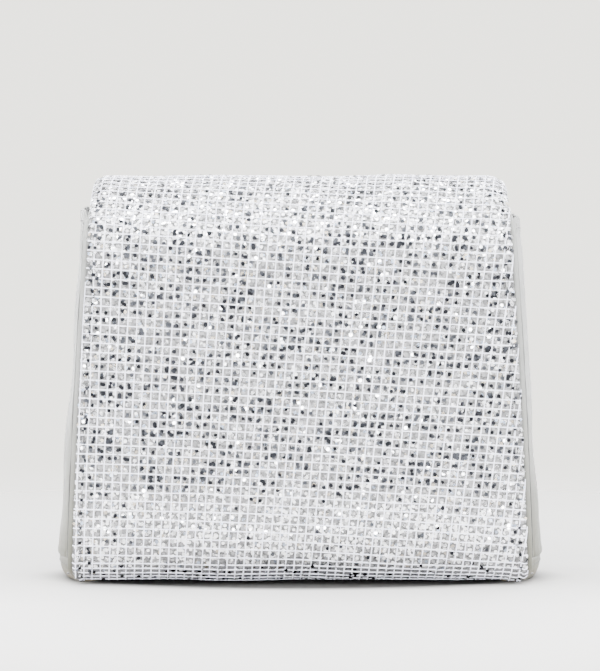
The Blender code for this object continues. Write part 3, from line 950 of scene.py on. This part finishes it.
def border_fade(s):
    """How much of the border shows: it narrows away up the roll, and the part inside the back is narrower."""
    fade = np.clip((158.0 - profile(s)[1]) / 12.0, 0.1, 1.0)
    return np.where(s > S_CROWN, 0.1 - 1.6 * smooth((s - S_CROWN) / 30.0), fade)


def facing_lift(x, s):
    """How far the facing stands out from its own depth: up to the front of its border, and over its hem."""
    edge = facing_cover(s) - np.abs(x)
    rise = smooth((0.35 - edge) / 0.7) * np.clip(border_fade(s), 0.0, 1.0)
    soft = 0.12 * waves(x, s, 5, 26.0) * smooth(edge / 3.0 + 0.4)
    hem = 0.9 * smooth(0.4 - s)
    inside_back = 1.05 * smooth((s - S_HINGE + 22.0) / 20.0)
    return rise + soft + hem + hem_swell(s) - inside_back - end_droop(x, edge, s)


def make_facing():
    """The flap's PU underside. It shows as a rolled border, and laps onto the inside of the back."""
    s = stations((-2.3, S_FRONT, 16), (S_FRONT, S_ROLL, 40), (S_ROLL, S_BACK, 60),
                 (S_BACK, S_BACK + FACING_LAP, 8))

    def raised(x, edge, row):
        return facing_lift(x, s[row])

    half = facing_cover(s) + BORDER * border_fade(s)
    path = profile(s, FACING_DEPTH)
    made = strip("flap_facing_pu", path, half, FACING_TURN, FACING_SKIN, 61, raised, power=2.0)
    install(dress(made, PU), "pu_leather", "flap_facing", on_flap=True)
    along = np.arange(5.0, S_HINGE - 4.0, 0.7)
    across = np.arange(-82.0, 82.01, 0.7)
    edge = facing_cover(along) - STITCH_IN
    lines = (("left", -edge, along), ("right", edge, along), ("hem", across, 0.0 * across + 4.0))
    for word, x, place in lines:
        y, z, ny, nz = profile(place, FACING_DEPTH + FACING_SKIN)
        lift = facing_lift(x, place)
        curve = np.stack([x, y + ny * lift, z + nz * lift], axis=-1)
        normals = np.stack([0.0 * x, -ny, -nz], axis=-1)
        stitches(f"facing_stitches_{word}", curve, normals, 3.6, 2.7, 0.2, on_flap=True)


def make_wadding():
    """The thin padding that keeps the top roll round."""
    s = np.linspace(S_ROLL + 1.0, S_HINGE + 8.0, 50)

    def raised(x, edge, row):
        return 0.08 * waves(x, s[row], 8, 9.0) - end_droop(x, facing_cover(s[row]) - np.abs(x), s[row])

    path = profile(s, 0.85)
    made = strip("roll_wadding", path, facing_cover(s) - 1.4, 0.5, WADDING_SKIN, 51, raised)
    dress(made, make_plain("wadding_fluff", 0.8, (1.0, 1.0, 0.97), 1.2))
    install(made, "wadding", "flap_roll_wadding", on_flap=True)


# ---------------- the body


def make_front_wall():
    """The pale PU front under the flap. It turns over the top edge and laps inside."""
    turn_z = FRONT_TOP - WALL_TURN
    inner_face = WALL_FACE + 2.0 * WALL_TURN
    y, z, ny, nz = front_path(stations((SEAM_LOW, ROLL_Z, 10), (ROLL_Z, turn_z, 50)), 0.0)
    turn = np.linspace(0.0, math.pi, 12)[1:]
    down = np.linspace(turn_z, FRONT_TOP - WALL_LAP, 7)[1:]
    rows = (np.concatenate([y, WALL_FACE + WALL_TURN * (1.0 - np.cos(turn)), 0.0 * down + inner_face]),
            np.concatenate([z, turn_z + WALL_TURN * np.sin(turn), down]),
            np.concatenate([ny, -np.cos(turn), 0.0 * down + 1.0]),
            np.concatenate([nz, np.sin(turn), 0.0 * down]))

    def raised(x, edge, row):
        height = rows[1][row]
        soft = 0.22 * waves(x, height, 12, 44.0) * smooth((FRONT_TOP - 3.0 - height) / 14.0)
        line = 0.22 * bump(height, FRONT_TOP - TOPSTITCH_DOWN, 0.7)
        snap = 0.12 * bump(np.hypot(x, height - SNAP_Z), 10.0, 2.2)
        return np.where(row < len(z), soft - line - snap, 0.0)

    made = strip("front_wall_pu", rows, wall_half(rows[1]), 0.62, WALL_SKIN, 61, raised)
    install(dress(made, PU), "pu_leather", "front_cover")
    end = wall_half(FRONT_TOP) - 3.0
    x = np.linspace(-end, end, 200)
    for word, face, out in (("outside", WALL_FACE, -1.0), ("inside", inner_face, 1.0)):
        curve = np.stack([x, 0.0 * x + face, 0.0 * x + FRONT_TOP - TOPSTITCH_DOWN], axis=-1)
        stitches(f"front_topstitch_{word}", curve, (0.0, out, 0.0), 3.2, 2.4, 0.19)


def gusset_points(side, inset, v, share, top_shift, depths=GUSSET_DEPTHS, low=SEAM_LOW):
    """A grid on a gusset. v runs from its bottom seam to its top edge and share from front to back."""
    v, share = np.meshgrid(v, share, indexing="ij")

    def depth_at(z):
        front = front_y(z, depths[0])
        back = rounded_y(HALF_DEPTH - ROLL_R, ROLL_R - depths[1], BACK_TUCK, z)
        return front + (back - front) * share

    y_top = depth_at(0.0 * share + 100.0)
    radius = np.where(y_top < 0.0, *GUSSET_RADII)
    shoulder = TOP_Z + np.sqrt(np.clip(radius * radius - y_top * y_top, 0.0, None))
    # a soft minimum, so that the top edge is one smooth curve
    flat_top = GUSSET_TOP + top_shift - 0.6 * (1.0 - np.cos(2.0 * math.pi * share))
    gap = shoulder - flat_top
    top = flat_top + 0.5 * (gap - np.sqrt(gap * gap + 6.0)) + 0.4
    z = low + (top - low) * v
    return np.stack([side * side_x(share, z, inset), depth_at(z), z], axis=-1)


def gusset_relief(side, share, v, points, edge):
    """How far a gusset's skin stands out from its smooth form: folded top, seam and soft creases."""
    z = points[..., 2]
    top_down = gusset_top_down(v, points)
    fold = 0.30 * smooth((6.2 - top_down) / 0.8) - 0.26 * bump(top_down, TOPSTITCH_DOWN, 0.5)
    seam = 0.45 * smooth((2.6 - edge) / 0.8) - 0.75 * bump(edge, 3.3, 0.8)
    low = 0.30 * bump(z, BASE_TOP + 1.6, 1.4) + 0.9 * smooth((70.0 - z) / 50.0) * smooth(edge / 12.0)
    away = smooth(top_down / 14.0) * smooth(edge / 9.0) * smooth((z - 14.0) / 16.0)
    dents = 0.9 * waves(share * 60.0, z, 20 + int(side), 40.0)
    crease = -1.6 * bump(share, 0.5 + 0.03 * np.sin(z / 19.0), 0.055) * smooth((z - 45.0) / 50.0)
    return fold + seam + low + away * (dents + crease)


def gusset_top_down(v, points):
    """How far below a gusset's top edge its grid's places lie."""
    return (1.0 - v)[:, None] * np.linalg.norm(points[-1] - points[0], axis=-1)[None, :]


def sew_gusset(side, word, outer, edge, top_down):
    """The stitches along a gusset's two seams and its folded top."""
    rows = np.arange(4, 62)
    middle = outer.shape[1] // 2
    for line, first, last, turn in (("front", 0, middle, -0.25), ("back", middle, None, 0.25)):
        columns = first + np.argmin(np.abs(edge[rows, first:last] - SEAM_IN), axis=1)
        curve = outer[rows, columns]
        curve[:, 0], curve[:, 1] = smooth_line(curve[:, 0]), smooth_line(curve[:, 1])
        curve = curve[curve[:, 2] < curve[-1, 2] - 2.0]
        stitches(f"gusset_{word}_stitches_{line}", curve, (side, turn, 0.0), 3.6, 2.6, 0.19)
    r = int(np.argmin(np.abs(top_down[:, middle] - TOPSTITCH_DOWN)))
    stitches(f"gusset_{word}_stitches_top", outer[r, 5:40], (side, 0.0, 0.0), 3.4, 2.4, 0.19)


def make_gussets():
    """The bulging PU sides. The left one's top stands a little higher than the right one's."""
    v = 0.5 - 0.5 * np.cos(math.pi * np.linspace(0.0, 1.0, 64))
    share = 0.5 - 0.5 * np.cos(math.pi * np.linspace(0.0, 1.0, 45))
    for side, word, top_shift in ((-1.0, "left", 1.2), (1.0, "right", -2.0)):
        outer = gusset_points(side, 0.0, v, share, top_shift)
        width = outer[:, -1, 1] - outer[:, 0, 1]
        edge = np.minimum(share, 1.0 - share)[None, :] * width[:, None]
        top_down = gusset_top_down(v, outer)
        relief = gusset_relief(side, share[None, :], v, outer, edge)
        relief = np.where(edge < 1.0, np.minimum(relief, 0.12), relief)
        inner = outer.copy()
        outer[..., 0] += side * relief
        inner[..., 0] += side * (np.minimum(relief, 0.05) - GUSSET_SKIN)
        made = sheet(f"gusset_pu_{word}", outer, inner)
        install(dress(made, PU), "pu_leather", f"gusset_{word}")
        sew_gusset(side, word, outer, edge, top_down)


def make_seam_piping():
    """A thin dark bead where each gusset is sewn to the front, beside the flap's border; its dark colour is
    painted shade for the gap there.
    """
    # painted shade: the bead's dark colour
    shade_paint = make_edge_dye()
    z = np.linspace(BASE_TOP + 0.6, FRONT_TOP + 1.0, 110)
    y = front_y(z, 0.9)
    for side, word in ((-1.0, "left"), (1.0, "right")):
        x = cover_half(z) + BORDER + 0.30 + 0.10 * waves(z, 0.0 * z, 60 + int(side), 20.0)
        rings = []
        for angle in np.arange(8) * math.pi / 4.0:
            place = [side * (x + 0.42 * math.cos(angle)), y + 0.55 * math.sin(angle), z]
            rings.append(np.stack(place, axis=-1))
        made = tubes(f"seam_shade_bead_{word}", [np.stack(rings, axis=1)])
        install(dress(made, shade_paint), "pu_leather")


def base_ring(z, inset):
    """The base cover's outline at a height, drawn in by inset: right side, back, left side, front."""
    share = np.linspace(0.0, 1.0, BASE_SIDE_PLACES)
    front, back = front_y(z, inset), back_y(z, 1.0 + inset)
    under = min(1.0, max(0.0, 1.0 - z / BASE_TOP))
    rounding = BASE_CORNER * (1.0 - math.sqrt(1.0 - under * under * 0.98))
    x = side_x(share, z, inset + 0.6) + 0.9 * np.sin(math.pi * share) - rounding
    across = np.linspace(1.0, -1.0, BASE_LONG_PLACES + 2)[1:-1]
    right = np.stack([x, front + (back - front) * share], axis=-1)
    back_row = np.stack([across * x[-1], 0.0 * across + back], axis=-1)
    left = right[::-1] * np.array([-1.0, 1.0])
    front_row = np.stack([-across * x[0], 0.0 * across + front], axis=-1)
    outline = np.concatenate([right, back_row, left, front_row])
    return np.column_stack([outline, np.full(len(outline), z)])


def make_base():
    """The PU base with its turned ends, one closed skin. It is arched, and stands on its two ends."""
    heights = BASE_TOP * (1.0 - np.sin(np.linspace(0.0, math.pi / 2.0, 10)))
    outside = [base_ring(h, 0.0) for h in heights]
    inside = [base_ring(max(h, BASE_SKIN), 0.8) for h in heights]
    foot, inner_foot = outside[-1], inside[-1]
    middle = np.array([0.0, (foot[0, 1] + foot[BASE_SIDE_PLACES - 1, 1]) / 2.0, 0.0])
    for shrink in (0.93, 0.78, 0.55, 0.3, 0.1):
        outside.append(middle + (foot - middle) * np.array([shrink, shrink, 1.0]))
        inside.append(middle + (inner_foot - middle) * np.array([shrink, shrink, 1.0]))
    rim = (outside[0] + inside[0]) / 2.0 + np.array([0.0, 0.0, 0.3])
    rings = outside[::-1] + [rim] + inside
    count = len(rim)
    points = np.concatenate(rings)
    between_ends = smooth((88.0 - np.abs(points[:, 0])) / 24.0)
    points[:, 2] += BASE_ARCH * between_ends * smooth((BASE_TOP - points[:, 2]) / BASE_TOP)
    faces = grid_faces(len(rings), count, closed=True)
    faces.append(list(range(count))[::-1])
    faces.append([(len(rings) - 1) * count + k for k in range(count)])
    made = outward(make_mesh("base_pu", points, faces))
    install(dress(made, PU), "pu_leather", "base_cover")
    seam = base_ring(BASE_TOP - 3.0, 0.0)
    for word, first, side in (("right", 0, 1.0), ("left", BASE_SIDE_PLACES + BASE_LONG_PLACES, -1.0)):
        curve = seam[first:first + BASE_SIDE_PLACES]
        stitches(f"base_stitches_{word}", curve, (side, 0.0, -0.2), 3.6, 2.6, 0.19)


# ---------------- the lining


def make_front_lining():
    z = np.linspace(LINING_LOW, FRONT_TOP - 2.4, 50)

    def slack(x, edge, row):
        calm = smooth(edge / 12.0) * smooth((FRONT_TOP - 12.0 - z[row]) / 14.0)
        return -0.35 * (1.0 + waves(x, z[row], 31, 38.0)) * calm

    path = front_path(z, LINING_DEPTH)
    return strip("front_lining_cloth", path, wall_half(z) - LINING_IN, 0.3, LINING_SKIN, raised=slack)


def make_back_lining():
    s = np.linspace(S_HINGE - 4.0, S_TUCK + 11.0, 60)

    def slack(x, edge, row):
        calm = smooth(edge / 12.0) * smooth((s[row] - S_BACK - 12.0) / 12.0)
        return -0.35 * (1.0 + waves(x, s[row], 32, 38.0)) * calm

    path = profile(s, LINING_DEPTH)
    half = wall_half(profile(s)[1]) - LINING_IN
    return strip("back_lining_cloth", path, half, 0.3, LINING_SKIN, raised=slack)


def make_gusset_lining(side, word, top_shift):
    """A gusset's lining. It gives way where the gusset is creased inward."""
    v = np.linspace(0.0, 1.0, 50)
    share = np.linspace(0.0, 1.0, 25)
    outer, inner = (gusset_points(side, inset, v, share, top_shift, (3.0, 3.0), LINING_LOW)
                    for inset in (1.15, 1.5))
    slack = 0.5 * (1.0 + waves(share[None, :] * 60.0, outer[..., 2], 36, 34.0))
    slack = slack * np.sin(math.pi * share)[None, :] * smooth((1.0 - v) / 0.15)[:, None]
    dent = slack + np.clip(-gusset_relief(side, share[None, :], v, outer, 30.0), 0.0, None)
    outer[..., 0] -= side * dent
    inner[..., 0] -= side * dent
    return sheet(f"gusset_lining_cloth_{word}", outer, inner)


def make_floor_lining():
    low, high = corners("base_lining")
    y = np.linspace(low[1], high[1], 13)
    path = (y, 0.0 * y + high[2], 0.0 * y, 0.0 * y + 1.0)
    return strip("floor_lining_cloth", path, min(-low[0], high[0]), 0.25, 0.24)


def make_pocket():
    """A slip pocket on the back lining, hemmed along its open top and sewn round its other sides."""
    low, high = corners("slip_pocket")
    wall = high[1] - 0.1
    z = np.linspace(low[2], high[2], 32)
    grid_x, grid_z = np.meshgrid(near_sides(41, 1.5) * high[0], z)
    side = smooth((high[0] - np.abs(grid_x)) / 7.0)
    rise = smooth((grid_z - low[2]) / 7.0)
    down = high[2] - grid_z
    hem = 0.22 * smooth((5.6 - down) / 0.7) - 0.12 * bump(down, TOPSTITCH_DOWN, 0.5)
    swell = side * rise * (0.9 + 0.5 * smooth(1.0 - down / 40.0) + 0.16 * waves(grid_x, grid_z, 41, 24.0))
    front = np.stack([grid_x, wall - 0.45 - swell - hem, grid_z], axis=-1)
    back = np.stack([grid_x, wall - 0.1 - swell, grid_z], axis=-1)
    made = sheet("slip_pocket_cloth", front, back)
    r = int(np.argmin(np.abs(z - (high[2] - TOPSTITCH_DOWN))))
    curves = {"hem": front[r, 2:-2], "left": front[:, 3], "right": front[:, -4], "bottom": front[2, 3:-3]}
    for word, curve in curves.items():
        stitches(f"pocket_stitches_{word}", curve, (0.0, -1.0, 0.0), 3.0, 2.2, 0.16, "lining")
    return made


def make_lining_bag():
    """The twill lining: front, back, two sides, floor and pocket, each a thin sheet."""
    lining = make_lining()
    pieces = {
        "front_lining": make_front_lining(),
        "back_lining": make_back_lining(),
        "gusset_lining_left": make_gusset_lining(-1.0, "left", 0.6),
        "gusset_lining_right": make_gusset_lining(1.0, "right", -2.6),
        "base_lining": make_floor_lining(),
        "slip_pocket": make_pocket(),
    }
    for node, made in pieces.items():
        install(dress(made, lining), "lining", node)


def finish_hidden_parts():
    """Materials on the CAD nodes that show as they are."""
    board = make_plain("grey_board", 0.34, (1.0, 0.97, 0.9), 1.4)
    steel = make_metal("washer_steel_worn", 0.55, 0.35)
    nickel = make_metal("snap_nickel", 0.50, 0.2)
    chosen = {"flap_board": board, "back_board": board, "front_board": board, "base_board": board,
              "snap_socket": nickel, "snap_stud": nickel,
              "snap_socket_washer": steel, "snap_stud_washer": steel}
    for node, shown in chosen.items():
        dress(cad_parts[node], shown)


# ---------------- stage, light and camera

FLOOR_RADIUS = 520.0
FLOOR_SIDES = 96
# places on the stage, in metres
FLOOR_FADE = (0.14, 0.51)  # how far from the bag's middle the floor starts and ends fading away
SHADE_REACH = (0.086, 0.114)  # where the contact shade starts and ends fading,
SHADE_SCALE = (1.0, 2.35, 1.0)  # narrower from front to back
SHADE_COLOUR = (0.03, 0.03, 0.027)
FLOOR_BACK = (-0.09, 0.06)  # painted shade: the floor turns from its front colour to a darker back one
FLOOR_COLOURS = ((0.60, 0.59, 0.575), (0.42, 0.415, 0.40))

# what the flakes mirror: the walls' brightness with glare and dark patches, the ceiling's and the ground's
WALL_SCALE = 14.0
WALL_LEVELS = (0.95, 1.95)
GLARE_SCALE = 17.0
GLARE_EDGE = 0.575
GLARE_LEVEL = 30.0
PATCH_SCALE = 21.0
PATCH_EDGE = 0.61
PATCH_LEVEL = 0.02
CEILING_SCALE = 12.0
CEILING_EDGE = 0.575
CEILING_LEVELS = (2.75, 27.0)
GROUND_LEVEL = 2.6
STUDIO_TINT = (0.985, 0.99, 1.0)
BACKDROP = (2.95, 2.90, 2.66)  # what the camera sees

LENS = 214.6
CAMERA_TILT = math.radians(4.0)
CAMERA_DISTANCE = 1.6  # metres
CAMERA_AIM = (0.0, -HALF_DEPTH * SCALE, 0.1015)


def make_floor():
    """A pale floor that fades into the backdrop, with a soft contact shade round where the bag stands."""
    angles = np.arange(FLOOR_SIDES) * 2.0 * math.pi / FLOOR_SIDES
    points = FLOOR_RADIUS * np.stack([np.cos(angles), np.sin(angles), 0.0 * angles], axis=-1)
    floor = make_mesh("stage_floor", points, [list(range(FLOOR_SIDES))], smooth_shade=False)
    m = Shader("stage_pale", (0.62, 0.62, 0.615), 0.7)
    m.set("Alpha", m.span(m.length(m.place), 1.0, 0.0, *FLOOR_FADE, interpolation_type="SMOOTHSTEP"))
    reach = m.length(m.place, SHADE_SCALE)
    lit = m.span(reach, 0.0, 1.0, *SHADE_REACH, interpolation_type="SMOOTHSTEP")
    # painted shade: the floor is darker behind the bag than in front
    pale = m.mix(m.span(m.axis(m.place, "Y"), 0.0, 1.0, *FLOOR_BACK), *FLOOR_COLOURS)
    m.set("Base Color", m.mix(lit, SHADE_COLOUR, pale))
    dress(floor, m.material)


def aimed(name, data, place, direction):
    """A light or camera at a place, looking along a direction."""
    made = bpy.data.objects.new(name, data)
    made.location = place
    made.rotation_mode = "QUATERNION"
    made.rotation_quaternion = direction.to_track_quat("-Z", "Y")
    bpy.context.scene.collection.objects.link(made)
    return made


def area_light(name, place, aim, size, power, colour=(1.0, 1.0, 1.0)):
    lamp = bpy.data.lights.new(name, "AREA")
    lamp.shape = "RECTANGLE"
    lamp.size, lamp.size_y = size
    lamp.energy = power
    lamp.color = colour
    aimed(name, lamp, place, Vector(aim) - Vector(place))


def make_world():
    """A pale studio. The flakes mirror its brighter and darker patches; the camera sees it plain."""
    world = bpy.data.worlds.new("studio")
    bpy.context.scene.world = world
    world.use_nodes = True
    world.node_tree.nodes.clear()
    w = Nodes(world.node_tree)
    direction = w.node("TexCoord").outputs["Generated"]

    def noise(scale, detail=1.0):
        return w.node("TexNoise", {"Vector": direction, "Scale": scale, "Detail": detail}).outputs["Fac"]

    height = w.axis(direction, "Z")
    walls = w.span(noise(WALL_SCALE, 3.0), *WALL_LEVELS, 0.35, 0.65)
    glare = w.span(noise(GLARE_SCALE), 0.0, 1.0, GLARE_EDGE, GLARE_EDGE + 0.02)
    walls = w.between(glare, walls, GLARE_LEVEL)
    patch = w.span(noise(PATCH_SCALE), 0.0, 1.0, PATCH_EDGE, PATCH_EDGE + 0.02)
    walls = w.between(patch, walls, PATCH_LEVEL)
    ceiling = w.between(w.span(noise(CEILING_SCALE), 0.0, 1.0, CEILING_EDGE, 0.59), *CEILING_LEVELS)
    lit = w.between(w.span(height, 0.0, 1.0, 0.42, 0.60), walls, ceiling)
    lit = w.between(w.span(height, 0.0, 1.0, -0.20, -0.30), lit, GROUND_LEVEL)
    shown = w.node("Background", {"Color": (*BACKDROP, 1.0), "Strength": 1.0}).outputs[0]
    mirrored = w.node("Background", {"Color": (*STUDIO_TINT, 1.0), "Strength": lit}).outputs[0]
    by_camera = w.node("LightPath").outputs["Is Camera Ray"]
    both = w.node("MixShader", {0: by_camera, 1: mirrored, 2: shown}).outputs[0]
    w.node("OutputWorld", {"Surface": both})


def make_camera():
    camera = bpy.data.cameras.new("camera")
    camera.sensor_width = 36.0
    camera.lens = LENS
    camera.clip_start, camera.clip_end = 0.05, 20.0
    away = Vector((0.0, -math.cos(CAMERA_TILT), math.sin(CAMERA_TILT)))
    bpy.context.scene.camera = aimed("camera", camera, Vector(CAMERA_AIM) + away * CAMERA_DISTANCE, -away)


cloth = make_cover_cloth()
make_net_piece()
make_flake_pieces()
make_facing()
make_wadding()
make_cover_stitching()
make_front_wall()
make_gussets()
make_seam_piping()
make_base()
make_lining_bag()
finish_hidden_parts()

make_floor()
make_world()
area_light("overhead_softbox", (0.0, -0.25, 1.3), (0.0, 0.0, 0.1), (1.2, 0.9), 8.0, (0.93, 0.96, 1.0))
area_light("front_softbox", (0.2, -1.45, 1.5), (0.0, 0.0, 0.08), (0.8, 0.8), 4.0)
make_camera()
